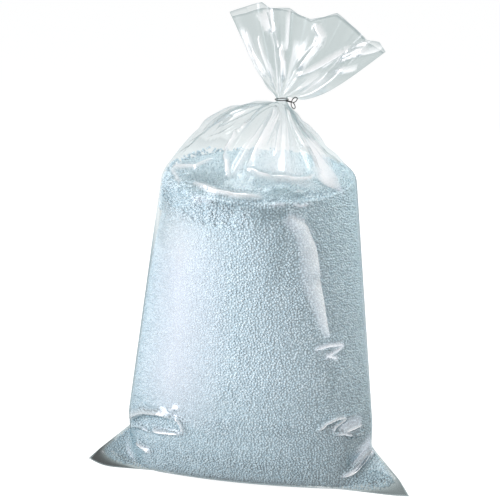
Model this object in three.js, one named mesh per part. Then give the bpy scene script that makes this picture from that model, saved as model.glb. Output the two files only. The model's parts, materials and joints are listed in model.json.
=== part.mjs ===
// Clear film bag of expanded polystyrene beads, gathered at the neck and closed with a twisted wire tie.
// Millimetres, +Z up. The bag stands on the floor at z = 0, with its bottom seal along X and its front
// facing -Y. The origin is on the floor, under the middle of the bag.
import * as THREE from "three";

const { degToRad, lerp, smoothstep } = THREE.MathUtils;

// Film tube: its lay-flat width sets every girth, because the film doesn't stretch.
const FLAT_WIDTH = 475;
const FILM_WALL = 0.35;
const FILL_GAP = 0.4;

// Foot: where the film lies on the floor. The bottom seal runs near the front, and its ends swing forward.
const SEAL_X = 2;
const SEAL_Y = -40;
const SEAL_BOW = 8;
const FOOT_HALF_WIDTH = 160;
const FOOT_FRONT = 5;
const FOOT_BACK = 116;
const FOOT_ROUNDING = 0.85;

// Belly: the widest girth, low down, wide across X and shallow across Y.
const BELLY_X = -5;
const BELLY_HEIGHT = 82;
const BELLY_ASPECT = 1.55;

// Ears: the two corners of the flat bag, which stick out at the ends of the seal.
const EAR_CURL_LEFT = 11;
const EAR_CURL_RIGHT = 2;
const EAR_CURL_SHARE = 0.14;
const EAR_CORNER_LEFT = 2;
const EAR_CORNER_RIGHT = 7;
const EAR_KNEE_HEIGHT = 53;
const EAR_KNEE_SHARE = 0.76;
const EAR_THICKNESS = 40;
const EAR_TIP_THICKNESS = 8;
const EAR_EMPTY_TIP = 20;
const EAR_STARTS_AT = 0.8;
const EAR_FALLOFF = 1.5;

// Shoulder: the girth at the bead level, deeper than it is wide, with a slight tilt down to the right.
const SHOULDER_X = 10;
const SHOULDER_ASPECT = 0.8;
const SHOULDER_TILT = 7;
const BEAD_LEVEL = 440;

// Beads: poured, so their heap is uneven and they leave shallow hollows behind the film. The slack film at
// the upper left stands off them. The hollows' waves are counted round the bag, and measured up it.
const HEAP_RISE = 8;
const HEAP_LUMP = 5;
const HEAP_LUMPS_ACROSS = 92;
const HEAP_LUMPS_ALONG = 118;
const SLACK_GAP = 8;
const SLACK_TOWARD = degToRad(195);
const SLACK_ABOVE = 300;
const HOLLOW_DEPTH = 1.6;
const HOLLOW_WAVES = [
  { round: 11, up: 92 },
  { round: -17, up: 128 },
];

// Cone: the empty film drawn up from the shoulder to the tie, rounded toward the front left and straight
// opposite. Its folds fade out toward the neck and toward the shoulder.
const CONE_RISE = 107;
const CONE_CURVE = 1.3;
const CONE_BULGE = 0.7;
const CONE_BULGES_TOWARD = degToRad(205);
const CONE_FOLD_DEPTH = 7;
const CONE_FOLD_LIFT = 0.7;
const CONE_FOLD_UNEVENNESS = 0.6;
const CONE_FOLD_STRIDE = degToRad(137.5);
const CONE_FADE_TO_NECK = 0.3;
const CONE_FADE_TO_SHOULDER = 0.35;

// Neck: the gathered film inside the tie, off to one side of the body.
const NECK_X = 41;
const NECK_RADIUS = 6.2;
const NECK_PLEAT_DEPTH = 1.7;
const NECK_HALF_LENGTH = 6;

// Frill: the free film above the tie, spread as a leaning fan. Its cut edge is uneven, here from left to
// right as shares of the fan's length.
const FRILL_LENGTH_LEFT = 138;
const FRILL_LENGTH_RIGHT = 162;
const FRILL_CUT = [0.98, 0.95, 0.91, 0.82, 0.8, 0.87, 0.87, 0.93, 0.98];
const FRILL_LEAN = degToRad(16);
const FRILL_SPREAD = degToRad(49.5);
const FRILL_HALF_DEPTH = 30;
const FRILL_FOLDS_OPEN_BY = 0.6;
const FRILL_SAG_LEFT = -6;
const FRILL_SAG_RIGHT = 18;
const FRILL_SAG_CURVE = 0.6;

// The frill's folds: how far each ridge stands out of the fan, or each valley lies in, at a share of the
// way from left to right.
const FRONT_FOLDS = [
  { at: 0, out: 0 },
  { at: 0.06, out: -5 },
  { at: 0.21, out: 15 },
  { at: 0.28, out: -12 },
  { at: 0.39, out: 16 },
  { at: 0.45, out: -3 },
  { at: 0.66, out: 5 },
  { at: 0.86, out: -12 },
  { at: 0.92, out: 14 },
  { at: 1, out: 0 },
];
const BACK_FOLDS = [
  { at: 0, out: 0 },
  { at: 0.13, out: 13 },
  { at: 0.24, out: -13 },
  { at: 0.34, out: 15 },
  { at: 0.52, out: -14 },
  { at: 0.7, out: 16 },
  { at: 0.8, out: -12 },
  { at: 0.93, out: 9 },
  { at: 1, out: 0 },
];

// Tie: one wire with an eye at each end, taken round the neck and twisted. The twisted shank leaves the ring
// at the front and heads to the right.
const WIRE_DIAMETER = 1.3;
const TIE_GAP = 0.55;
const TIE_ANGLE = degToRad(-42);
const SHANK_HEADING = degToRad(-8);
const SHANK_DROOP = degToRad(10);
const SHANK_LENGTH = 9;
const SHANK_TURNS = 2;
const STRAND_GAP = 0.12;
const EYE_LENGTH = 9.5;
const EYE_WIDTH = 5.2;
const EYE_SPLAY = degToRad(54);
const EYE_SWEEP = degToRad(333);
const EYE_STEP_ASIDE = 0.08;

// Resolution: columns of film round the tube, four to each pleat.
const PLEATS = 16;
const COLUMNS_PER_PLEAT = 4;
const COLUMNS = PLEATS * COLUMNS_PER_PLEAT;

const vec = (x, y, z) => new THREE.Vector3(x, y, z);
const level = (heading) => vec(Math.cos(heading), Math.sin(heading), 0);

// Girths that follow from the film: ellipses whose squared half axes have a constant sum have much the
// same girth.
const girthRadius = FLAT_WIDTH / Math.PI;
const halfDepthFor = (aspect) => (girthRadius * Math.SQRT2) / Math.hypot(1, aspect);
const bellyHalfWidth = BELLY_ASPECT * halfDepthFor(BELLY_ASPECT);
const shoulderHalfWidth = SHOULDER_ASPECT * halfDepthFor(SHOULDER_ASPECT);
const neckHeight = BEAD_LEVEL + CONE_RISE;

// A column's angle round the tube: 0 is the right-hand crease (+X), a quarter turn is the back.
const angleOf = (column) => (2 * Math.PI * column) / COLUMNS;
const opposite = (column) => (COLUMNS - column) % COLUMNS;
const girth = (build) => Array.from({ length: COLUMNS }, (_, column) => build(angleOf(column), column));

// Where a column meets the bottom seal. The flat bag's width is shared out evenly along it.
function sealPoint(angle) {
  const turn = angle <= Math.PI ? angle : 2 * Math.PI - angle;
  const across = 1 - (2 * turn) / Math.PI;
  const curl = across > 0 ? EAR_CURL_RIGHT : EAR_CURL_LEFT;
  const nearTip = Math.max(0, 1 - (1 - Math.abs(across)) / EAR_CURL_SHARE);
  return vec(SEAL_X + (across * FLAT_WIDTH) / 2, SEAL_Y - SEAL_BOW * across ** 2, curl * nearTip ** 2);
}

// Sharp folds: about 1 on a pleat's ridge column, uneven from pleat to pleat, and 0 between ridges.
function ridge(column) {
  const pleat = Math.floor(column / COLUMNS_PER_PLEAT);
  const onRidge = column % COLUMNS_PER_PLEAT === COLUMNS_PER_PLEAT / 2;
  return onRidge ? 1 + CONE_FOLD_UNEVENNESS * Math.sin(CONE_FOLD_STRIDE * pleat) : 0;
}

// Even pleats: a wave from -1 in a valley to 1 on a ridge.
const wave = (column) => -Math.cos((2 * Math.PI * column) / COLUMNS_PER_PLEAT);

// Foot and ears: from the seal along the floor, then up round the bottom edge to the belly
const footRows = [
  { floor: 0, rise: 0, ear: 0 },
  { floor: 0.55, rise: 0, ear: 0.2 },
  { floor: 1, rise: 0, ear: 0.38 },
  { floor: 1, rise: 0.22, ear: 0.56 },
  { floor: 1, rise: 0.48, ear: 0.76 },
  { floor: 1, rise: 0.74, ear: 0.88 },
  { floor: 1, rise: 1, ear: 1 },
];

function earWeight(angle) {
  const near = Math.max(0, Math.abs(Math.cos(angle)) - EAR_STARTS_AT) / (1 - EAR_STARTS_AT);
  return near ** EAR_FALLOFF;
}

const bellyPoint = (angle) => bodyPoint(angle, 0);

function footPoint(angle, { floor, rise }) {
  const seal = sealPoint(angle);
  const reach = Math.sin(angle) < 0 ? FOOT_FRONT : FOOT_BACK;
  const edge = vec(BELLY_X + FOOT_HALF_WIDTH * Math.cos(angle), seal.y + reach * Math.sin(angle), 0);
  if (rise === 0) return seal.lerp(edge, floor);
  const belly = bellyPoint(angle);
  const turn = edge.clone().lerp(belly, FOOT_ROUNDING).setZ(0);
  return new THREE.QuadraticBezierCurve3(edge, turn, belly).getPoint(rise);
}

// An ear's crease: from the tip, up the short corner and the slanting edge to the knee, and on to the belly.
function earPoint(angle, { ear }) {
  const rightSide = Math.cos(angle) > 0;
  const crease = rightSide ? 0 : Math.PI;
  const belly = bellyPoint(crease);
  const corner = sealPoint(crease).add(vec(0, 0, rightSide ? EAR_CORNER_RIGHT : EAR_CORNER_LEFT));
  const knee = vec(belly.x, 0, EAR_KNEE_HEIGHT);
  const point =
    ear <= EAR_KNEE_SHARE
      ? corner.lerp(knee, ear / EAR_KNEE_SHARE)
      : knee.lerp(belly, (ear - EAR_KNEE_SHARE) / (1 - EAR_KNEE_SHARE));
  point.y += Math.min(EAR_THICKNESS, EAR_THICKNESS * ear + EAR_TIP_THICKNESS) * Math.sin(angle);
  return point;
}

function footGirth(row) {
  if (row.ear === 0 || row.ear === 1) return girth((angle) => footPoint(angle, row));
  return girth((angle) => footPoint(angle, row).lerp(earPoint(angle, row), earWeight(angle)));
}

// Body: wide at the belly, deep at the shoulder
const BODY_STEPS = 4;

function bodyPoint(angle, share) {
  const halfWidth = lerp(bellyHalfWidth, shoulderHalfWidth, share);
  const halfDepth = Math.sqrt(2 * girthRadius ** 2 - halfWidth ** 2);
  const centreX = lerp(BELLY_X, SHOULDER_X, share);
  const height = lerp(BELLY_HEIGHT, BEAD_LEVEL - SHOULDER_TILT * Math.cos(angle), share);
  return vec(centreX + halfWidth * Math.cos(angle), halfDepth * Math.sin(angle), height);
}

// Cone: in from the shoulder to the neck, with folds that run to the tie
const coneShares = [0.93, 0.82, 0.68, 0.53, 0.38, 0.24, 0.13];

function coneGirth(share) {
  const fadeIn = smoothstep(1 - share, 0, CONE_FADE_TO_SHOULDER);
  const fadeOut = smoothstep(share, 0, CONE_FADE_TO_NECK);
  const neckFoot = vec(NECK_X, 0, neckHeight - NECK_HALF_LENGTH);
  return girth((angle, column) => {
    const shoulder = bodyPoint(angle, 1);
    const neck = neckOffset(angle, column, NECK_PLEAT_DEPTH).add(neckFoot);
    const curve = CONE_CURVE + CONE_BULGE * Math.cos(angle - CONE_BULGES_TOWARD);
    const height = lerp(neck.z, shoulder.z, share ** curve);
    const outward = vec(Math.cos(angle), Math.sin(angle), CONE_FOLD_LIFT);
    return neck
      .lerp(shoulder, share)
      .setZ(height)
      .addScaledVector(outward, CONE_FOLD_DEPTH * fadeIn * fadeOut * ridge(column));
  });
}

// Neck: even pleats pressed together by the tie
const neckShares = [-1, 0, 1];

function neckOffset(angle, column, flare) {
  const radius = NECK_RADIUS + flare + NECK_PLEAT_DEPTH * wave(column);
  return vec(radius * Math.cos(angle), radius * Math.sin(angle), 0);
}

function neckGirth(share) {
  const centre = vec(NECK_X, 0, neckHeight + share * NECK_HALF_LENGTH);
  const flare = NECK_PLEAT_DEPTH * Math.abs(share);
  return girth((angle, column) => neckOffset(angle, column, flare).add(centre));
}

// Frill: each column runs out along its own ray of the fan
const frillShares = [0.08, 0.2, 0.35, 0.52, 0.7, 0.86, 1];

// The film's length beyond the tie, a given share of the way across the fan from left to right.
function frillLength(across) {
  const place = across * (FRILL_CUT.length - 1);
  const below = Math.min(Math.floor(place), FRILL_CUT.length - 2);
  const cut = lerp(FRILL_CUT[below], FRILL_CUT[below + 1], place - below);
  return cut * lerp(FRILL_LENGTH_LEFT, FRILL_LENGTH_RIGHT, across);
}

// How far the frill's folds stand out there, on its front or its back.
function foldDepth(folds, across) {
  const next = Math.max(1, folds.findIndex(({ at }) => at >= across));
  const [left, right] = [folds[next - 1], folds[next]];
  return lerp(left.out, right.out, (across - left.at) / (right.at - left.at));
}

function frillGirth(share) {
  const root = vec(NECK_X, 0, neckHeight + NECK_HALF_LENGTH);
  const opening = smoothstep(share, 0, FRILL_FOLDS_OPEN_BY);
  const sagging = Math.sin(Math.PI * share ** FRILL_SAG_CURVE);
  return girth((angle, column) => {
    const across = (1 + Math.cos(angle)) / 2;
    const ray = FRILL_LEAN + FRILL_SPREAD * Math.cos(angle);
    const reach = share * frillLength(across);
    const sag = sagging * lerp(FRILL_SAG_LEFT, FRILL_SAG_RIGHT, across);
    const fold = Math.sin(angle) < 0 ? -foldDepth(FRONT_FOLDS, across) : foldDepth(BACK_FOLDS, across);
    const out = vec(
      reach * Math.sin(ray) + sag * Math.cos(ray),
      share * FRILL_HALF_DEPTH * Math.sin(angle) + opening * fold,
      reach * Math.cos(ray) - sag * Math.sin(ray),
    );
    return neckOffset(angle, column, NECK_PLEAT_DEPTH).multiplyScalar(1 - share).add(out).add(root);
  });
}

const bodyShares = Array.from({ length: BODY_STEPS }, (_, step) => (step + 1) / BODY_STEPS);
const bagRows = [
  ...footRows.map(footGirth),
  ...bodyShares.map((share) => girth((angle) => bodyPoint(angle, share))),
];
const filmRows = [
  ...bagRows,
  ...coneShares.map(coneGirth),
  ...neckShares.map(neckGirth),
  ...frillShares.map(frillGirth),
];

// On row 0, the seal, the front and the back of the tube share points.
const sharedColumn = (row, column) => (row === 0 ? Math.min(column, COLUMNS - column) : column);

// A grid of points as triangles.
function gridTriangles(rowCount, first, flipped) {
  const at = (row, column) => first + row * COLUMNS + sharedColumn(row, column % COLUMNS);
  const triangles = [];
  const add = (a, b, c) => {
    if (a !== b && b !== c && c !== a) triangles.push(...(flipped ? [a, c, b] : [a, b, c]));
  };
  for (let row = 0; row < rowCount - 1; row++) {
    for (let column = 0; column < COLUMNS; column++) {
      add(at(row, column), at(row, column + 1), at(row + 1, column + 1));
      add(at(row, column), at(row + 1, column + 1), at(row + 1, column));
    }
  }
  return triangles;
}

function geometryOf(points, triangles) {
  const geometry = new THREE.BufferGeometry().setFromPoints(points);
  geometry.setIndex(triangles);
  geometry.computeVertexNormals();
  return geometry;
}

// The film's outward normal at each point of its rows.
function normalsOf(rows) {
  const geometry = geometryOf(rows.flat(), gridTriangles(rows.length, 0, false));
  const normals = geometry.getAttribute("normal");
  const normalAt = (row, column) =>
    new THREE.Vector3().fromBufferAttribute(normals, row * COLUMNS + sharedColumn(row, column));
  return rows.map((points, row) => points.map((_, column) => normalAt(row, column)));
}

const filmNormals = normalsOf(filmRows);

// Along the seal of an ear the front and the back are almost parallel, so there outward means away from
// the lens above.
filmNormals[0].forEach((normal, column) => {
  const above = filmRows[1][column].clone().lerp(filmRows[1][opposite(column)], 0.5);
  const away = filmRows[0][column].clone().sub(above).normalize();
  normal.lerp(away, earWeight(angleOf(column))).normalize();
});

const insideBy = (depth) => (points, row) =>
  points.map((point, column) => point.clone().addScaledVector(filmNormals[row][column], -depth));

// The film: an outer and an inner wall, joined round the mouth of the frill.
function filmGeometry() {
  const outer = filmRows;
  const inner = filmRows.map(insideBy(FILM_WALL));
  const innerFirst = outer.length * COLUMNS;
  const mouth = (outer.length - 1) * COLUMNS;
  const triangles = [
    ...gridTriangles(outer.length, 0, false),
    ...gridTriangles(inner.length, innerFirst, true),
  ];
  for (let column = 0; column < COLUMNS; column++) {
    const a = mouth + column;
    const b = mouth + ((column + 1) % COLUMNS);
    triangles.push(a, b, innerFirst + b, a, innerFirst + b, innerFirst + a);
  }
  return geometryOf([...outer.flat(), ...inner.flat()], triangles);
}

// The beads: they fill the film up to the shoulder, apart from the thin tips of the ears, and are heaped
// on top.
const SIDE_STEPS = 4;
const heapShares = [0.85, 0.67, 0.5, 0.33, 0.16];
const EAR_ROOT_ACROSS = 0.8;
const EAR_ROOT_UP = 0.7;

// Drawn up from the pinched seal of an ear, to midway between its front and its back.
function clearOfSeal(walls) {
  const [seal, above] = walls;
  seal.forEach((point, column) => {
    const middle = above[column].clone().lerp(above[opposite(column)], 0.5);
    point.lerp(middle, Math.sqrt(earWeight(angleOf(column))));
  });
}

// Drawn back from an ear's tip, toward a place inside the body that the whole ear can be seen from.
function clearOfTips(walls) {
  footRows.forEach(({ ear }, row) =>
    walls[row].forEach((point, column) => {
      const angle = angleOf(column);
      const side = Math.sign(Math.cos(angle));
      const tip = sealPoint(side > 0 ? 0 : Math.PI);
      const root = vec(side * EAR_ROOT_ACROSS * FOOT_HALF_WIDTH, 0, EAR_ROOT_UP * EAR_KNEE_HEIGHT);
      const share = (EAR_EMPTY_TIP / tip.distanceTo(root)) * Math.max(0, 1 - ear / EAR_KNEE_SHARE);
      point.lerp(root, share * Math.sqrt(earWeight(angle)));
    }),
  );
}

// How far the beads lie behind the film: under the slack film, and in hollows from 0 to 1 times their depth.
function recess(angle, height) {
  const slack = Math.max(0, Math.cos(angle - SLACK_TOWARD)) * smoothstep(height, SLACK_ABOVE, BEAD_LEVEL);
  const waves = HOLLOW_WAVES.map(({ round, up }) => Math.sin(round * angle + (2 * Math.PI * height) / up));
  const hollow = waves.reduce((sum, wave) => sum + wave / waves.length, 1) / 2;
  return SLACK_GAP * slack + HOLLOW_DEPTH * hollow;
}

// The rows of beads between two rows of film, up to the upper one.
function sideRows(lower, upper) {
  return Array.from({ length: SIDE_STEPS }, (_, step) =>
    lower.map((point, column) => {
      const side = point.clone().lerp(upper[column], (step + 1) / SIDE_STEPS);
      const angle = angleOf(column);
      return side.addScaledVector(level(angle), -recess(angle, side.z));
    }),
  );
}

// A wave of a given length, from -1 to 1.
const swell = (place, length) => Math.sin((2 * Math.PI * place) / length);

// A point of the heap, a share of the way out from its middle to its rim.
function heapPoint(rim, share) {
  const point = vec(SHOULDER_X, 0, BEAD_LEVEL).lerp(rim, share);
  const lumps = swell(point.x, HEAP_LUMPS_ACROSS) + swell(point.y, HEAP_LUMPS_ALONG);
  point.z += (HEAP_RISE + (HEAP_LUMP * lumps) / 2) * (1 - share ** 2);
  return point;
}

function fillGeometry() {
  const walls = bagRows.map(insideBy(FILM_WALL + FILL_GAP));
  clearOfSeal(walls);
  clearOfTips(walls);
  const foot = walls.slice(0, footRows.length);
  const belly = footRows.length - 1;
  const sides = bodyShares.flatMap((_, step) => sideRows(walls[belly + step], walls[belly + step + 1]));
  const rim = sides[sides.length - 1];
  const heap = heapShares.map((share) => rim.map((point) => heapPoint(point, share)));
  const rows = [...foot, ...sides, ...heap];
  const peak = rows.length * COLUMNS;
  const last = peak - COLUMNS;
  const triangles = gridTriangles(rows.length, 0, false);
  for (let column = 0; column < COLUMNS; column++) {
    triangles.push(last + column, last + ((column + 1) % COLUMNS), peak);
  }
  return geometryOf([...rows.flat(), heapPoint(rim[0], 0)], triangles);
}

// The tie: eye, twisted strand, round the neck, twisted strand, eye
const STEPS_PER_TURN = 8;
const RING_STEPS = 18;
const EYE_STEPS = 10;
const TUBE_STEPS = 84;
const TUBE_SIDES = 8;

const wireRadius = WIRE_DIAMETER / 2;
const strandRadius = wireRadius + STRAND_GAP / 2;
const ringRadius = NECK_RADIUS + NECK_PLEAT_DEPTH + TIE_GAP + wireRadius;
const ringOpening = Math.asin((2 * strandRadius - wireRadius / 2) / ringRadius);

// The shank's own axes: along the twist, level across it, and up from it.
const shankSide = level(SHANK_HEADING + Math.PI / 2);
const shankAlong = level(SHANK_HEADING).applyAxisAngle(shankSide, SHANK_DROOP);
const shankUp = shankAlong.clone().cross(shankSide);
const tieCentre = vec(NECK_X, 0, neckHeight);
const shankStart = tieCentre.clone().addScaledVector(level(TIE_ANGLE), ringRadius + WIRE_DIAMETER);

// One of the two twisted strands, outward from the ring.
function strand(phase) {
  const count = SHANK_TURNS * STEPS_PER_TURN;
  return Array.from({ length: count + 1 }, (_, step) => {
    const turn = phase + (2 * Math.PI * step) / STEPS_PER_TURN;
    return shankStart
      .clone()
      .addScaledVector(shankAlong, (SHANK_LENGTH * step) / count)
      .addScaledVector(shankSide, strandRadius * Math.cos(turn))
      .addScaledVector(shankUp, strandRadius * Math.sin(turn));
  });
}

// The loop at a strand's end, splayed up or down and nearly closed on itself.
function eye(from, splay) {
  const out = shankAlong.clone().applyAxisAngle(shankSide, -splay);
  const across = shankUp.clone().applyAxisAngle(shankSide, -splay);
  const hand = Math.sign(splay);
  return Array.from({ length: EYE_STEPS }, (_, step) => {
    const turn = (EYE_SWEEP * (step + 1)) / EYE_STEPS;
    return from
      .clone()
      .addScaledVector(out, (EYE_LENGTH / 2) * (1 - Math.cos(turn)))
      .addScaledVector(across, hand * (EYE_WIDTH / 2) * Math.sin(turn))
      .addScaledVector(shankSide, hand * EYE_STEP_ASIDE * step);
  });
}

function tiePoints() {
  const ring = Array.from({ length: RING_STEPS + 1 }, (_, step) => {
    const angle = TIE_ANGLE + ringOpening + ((2 * Math.PI - 2 * ringOpening) * step) / RING_STEPS;
    return tieCentre.clone().addScaledVector(level(angle), ringRadius);
  });
  const first = strand(0).reverse();
  const second = strand(Math.PI);
  const firstEye = eye(first[0], EYE_SPLAY).reverse();
  const secondEye = eye(second[second.length - 1], -EYE_SPLAY);
  return [...firstEye, ...first, ...ring, ...second, ...secondEye];
}

function tieGeometry() {
  const section = new THREE.Shape().absarc(0, 0, wireRadius, 0, 2 * Math.PI, false);
  return new THREE.ExtrudeGeometry(section, {
    steps: TUBE_STEPS,
    curveSegments: TUBE_SIDES / 2,
    extrudePath: new THREE.CatmullRomCurve3(tiePoints(), false, "centripetal"),
    bevelEnabled: false,
  });
}

const clearFilm = new THREE.MeshStandardMaterial({
  color: 0xe4eceb,
  roughness: 0.12,
  metalness: 0,
  transparent: true,
  opacity: 0.3,
});
const whiteBeads = new THREE.MeshStandardMaterial({ color: 0xeef3f6, roughness: 0.85, metalness: 0 });
const darkWire = new THREE.MeshStandardMaterial({ color: 0x1d1d1f, roughness: 0.4, metalness: 0.6 });

function piece(name, geometry, material) {
  const mesh = new THREE.Mesh(geometry, material);
  mesh.name = name;
  return mesh;
}

const bag = new THREE.Group();
bag.add(
  piece("film_bag", filmGeometry(), clearFilm),
  piece("bead_fill", fillGeometry(), whiteBeads),
  piece("wire_tie", tieGeometry(), darkWire),
);

export default bag;
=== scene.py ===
# %% [markdown]
# # A bag of foam beads
# The real object is one tube of clear polythene film, sealed flat across its foot, filled with loose foam
# beads and closed by a twisted wire under a frill of free film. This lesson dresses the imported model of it:
# first the view, then the film with its folds, then the beads, the tie, the finishes and the light.

# %% The frame
import collections
import json
import math

import bmesh
import bpy
import numpy as np
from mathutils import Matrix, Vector, noise
from mathutils.bvhtree import BVHTree

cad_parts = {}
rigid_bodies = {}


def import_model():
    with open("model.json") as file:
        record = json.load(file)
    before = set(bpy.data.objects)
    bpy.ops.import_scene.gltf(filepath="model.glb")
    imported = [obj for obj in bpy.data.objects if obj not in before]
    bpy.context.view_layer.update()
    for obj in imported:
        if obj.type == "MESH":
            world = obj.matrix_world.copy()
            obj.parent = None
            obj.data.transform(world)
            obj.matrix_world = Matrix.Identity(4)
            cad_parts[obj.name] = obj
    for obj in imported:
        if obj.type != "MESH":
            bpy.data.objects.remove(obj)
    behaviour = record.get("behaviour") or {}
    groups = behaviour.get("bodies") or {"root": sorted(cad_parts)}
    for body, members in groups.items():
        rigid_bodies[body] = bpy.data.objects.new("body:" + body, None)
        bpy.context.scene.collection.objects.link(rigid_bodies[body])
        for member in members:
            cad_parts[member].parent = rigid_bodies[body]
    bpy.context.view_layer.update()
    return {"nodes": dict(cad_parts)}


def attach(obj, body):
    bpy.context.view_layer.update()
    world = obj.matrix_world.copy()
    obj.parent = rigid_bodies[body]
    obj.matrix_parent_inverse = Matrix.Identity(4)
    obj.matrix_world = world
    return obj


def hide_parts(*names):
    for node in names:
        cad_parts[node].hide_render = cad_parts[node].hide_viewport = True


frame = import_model()
film_node = frame["nodes"]["film_bag"]
fill_node = frame["nodes"]["bead_fill"]
tie_node = frame["nodes"]["wire_tie"]
scene = bpy.context.scene

# %% [markdown]
# The photograph was taken from a little above and a little to the right, with a long lens. The camera goes
# there first, because the folds further down are placed by where they lie in the picture.

# %% The camera
PHOTO_SIDE = 500
VIEW_AZIMUTH = math.radians(15)
VIEW_ELEVATION = math.radians(15)
VIEW_DISTANCE = 2.6
METRES_PER_PIXEL = 0.00141
SENSOR_WIDTH = 36
AIM_SHIFT = -0.004
AIM_HEIGHT = 0.33

view_right = Vector((math.cos(VIEW_AZIMUTH), math.sin(VIEW_AZIMUTH), 0))
view_back = Vector(
    (
        math.sin(VIEW_AZIMUTH) * math.cos(VIEW_ELEVATION),
        -math.cos(VIEW_AZIMUTH) * math.cos(VIEW_ELEVATION),
        math.sin(VIEW_ELEVATION),
    )
)
view_up = view_back.cross(view_right)
aim = AIM_SHIFT * view_right + Vector((0, 0, AIM_HEIGHT))
eye = aim + VIEW_DISTANCE * view_back

camera_data = bpy.data.cameras.new("camera")
camera_data.sensor_width = SENSOR_WIDTH
camera_data.lens = SENSOR_WIDTH * VIEW_DISTANCE / (PHOTO_SIDE * METRES_PER_PIXEL)
camera = bpy.data.objects.new("camera", camera_data)
camera.rotation_mode = "QUATERNION"
camera.rotation_quaternion = (-view_back).to_track_quat("-Z", "Y")
camera.location = eye
scene.collection.objects.link(camera)
scene.camera = camera
print("Camera at", tuple(eye), "with a lens of", round(camera_data.lens, 1), "mm")


def pixel_ray(x, y):
    """The direction from the camera through a pixel of the photograph."""
    focal = VIEW_DISTANCE / METRES_PER_PIXEL
    middle = PHOTO_SIDE / 2
    return (-focal * view_back + (x - middle) * view_right - (y - middle) * view_up).normalized()


# %% [markdown]
# The film is a single skin. The frame's film is a thin wall with two sides, so the outer side is copied and
# the rest of it is deleted. A search from the lowest vertex finds the outer side, because nothing joins the
# two walls once the strip round the mouth is gone.

# %% The film's outer side
MERGE_DISTANCE = 1e-6
RIM_WIDTH = 0.0005
RIM_ABOVE = 0.58


def is_rim(face):
    """True for the narrow strip that joins the film's two walls round its mouth."""
    longest = max(edge.calc_length() for edge in face.edges)
    narrow = 2 * face.calc_area() < RIM_WIDTH * longest
    return narrow and face.calc_center_median().z > RIM_ABOVE


def joined_to(start):
    """All vertices that faces join to one vertex."""
    found = {start}
    waiting = [start]
    while waiting:
        for face in waiting.pop().link_faces:
            new = set(face.verts) - found
            found |= new
            waiting += new
    return found


wall = bmesh.new()
wall.from_mesh(film_node.data)
bmesh.ops.remove_doubles(wall, verts=wall.verts, dist=MERGE_DISTANCE)
bmesh.ops.delete(wall, geom=[face for face in wall.faces if is_rim(face)], context="FACES_ONLY")
outer = joined_to(min(wall.verts, key=lambda vert: vert.co.z))
bmesh.ops.delete(wall, geom=[vert for vert in wall.verts if vert not in outer], context="VERTS")
print("Outer side:", len(wall.faces), "triangles")

# %% [markdown]
# Triangles don't subdivide well, so they are joined to quads. The wall is a stack of rings, and walking down
# from the mouth finds each ring's diagonals. Tall rings are cut to shorter ones, and two levels of
# subdivision then round the facets off. The bottom seal and the ears' edges are creased, so they stay sharp.

# %% Rings to a smooth skin
RING_SPACING = 0.013
SKIN_LEVELS = 2
EAR_RINGS = 7


def rings_of(wall):
    """The wall's rings from the mouth down: the diagonals to dissolve, each ring's uprights and the seal."""
    diagonals = []
    uprights = []
    seal = []
    level = [edge.link_loops[0] for edge in wall.edges if edge.is_boundary]
    while level:
        uprights.append([loop.link_loop_next.edge for loop in level])
        diagonals += [loop.link_loop_prev.edge for loop in level]
        bottoms = [loop.link_loop_prev.link_loop_radial_next.link_loop_next for loop in level]
        seal = [bottom.edge for bottom in bottoms]
        met = len(set(seal)) < len(seal)
        level = [] if met else [bottom.link_loop_radial_next for bottom in bottoms]
    return diagonals, uprights, seal


def new_object(name, mesh):
    """A mesh as an object at the origin, in the scene."""
    made = bpy.data.objects.new(name, mesh)
    scene.collection.objects.link(made)
    return made


def mesh_of(name, source):
    """A bmesh as a mesh. The bmesh is freed."""
    mesh = bpy.data.meshes.new(name)
    source.to_mesh(mesh)
    source.free()
    return mesh


def applied(obj):
    """The object's mesh with its modifiers applied, which are then removed."""
    graph = bpy.context.evaluated_depsgraph_get()
    mesh = bpy.data.meshes.new_from_object(obj.evaluated_get(graph))
    obj.modifiers.clear()
    obj.data = mesh
    return mesh


edge_crease = wall.edges.layers.float.new("crease_edge")
vert_crease = wall.verts.layers.float.new("crease_vert")
diagonals, uprights, seal = rings_of(wall)
for edge in seal:
    edge[edge_crease] = 1
seal_verts = collections.Counter(vert for edge in set(seal) for vert in edge.verts)
ear_tips = [vert for vert, count in seal_verts.items() if count == 1]
for tip in ear_tips:
    tip[vert_crease] = 1
    for step, ring in enumerate(uprights[: -EAR_RINGS - 1 : -1]):
        ear_edge = next(edge for edge in ring if tip in edge.verts)
        ear_edge[edge_crease] = 1 - step / EAR_RINGS
        tip = ear_edge.other_vert(tip)
bmesh.ops.dissolve_edges(wall, edges=diagonals)
for ring in uprights:
    mean = sum(edge.calc_length() for edge in ring) / len(ring)
    cuts = round(mean / RING_SPACING) - 1
    if cuts > 0:
        bmesh.ops.subdivide_edges(wall, edges=ring, cuts=cuts)
film = new_object("film", mesh_of("film", wall))
rounding = film.modifiers.new("rounding", "SUBSURF")
rounding.levels = SKIN_LEVELS
rounding.render_levels = SKIN_LEVELS
film_mesh = applied(film)
print("Film skin:", len(uprights), "rings,", len(film_mesh.polygons), "faces")

# %% [markdown]
# The tube was cut straight, but in the gathered frill its edge runs up and down, and the front and the back
# edge differ. The skin above the tie is stretched or shortened away from the neck, most at the edge itself,
# until both edges meet the lines that the picture shows.

# %% The mouth's edge
NECK = Vector((0.041, 0, 0.547))
FRONT_LIP = [
    (228, 18), (246, 13), (262, 8), (276, 8), (290, 8), (299, 15), (311, 19),
    (324, 17), (337, 13), (350, 24), (367, 40), (379, 42), (388, 56),
]
BACK_LIP = [
    (227, 13), (244, 7), (262, 2), (270, 8), (290, 11), (311, 21), (337, 15), (367, 42), (388, 56),
]
LIP_LIMITS = (0.85, 1.12)


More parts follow.
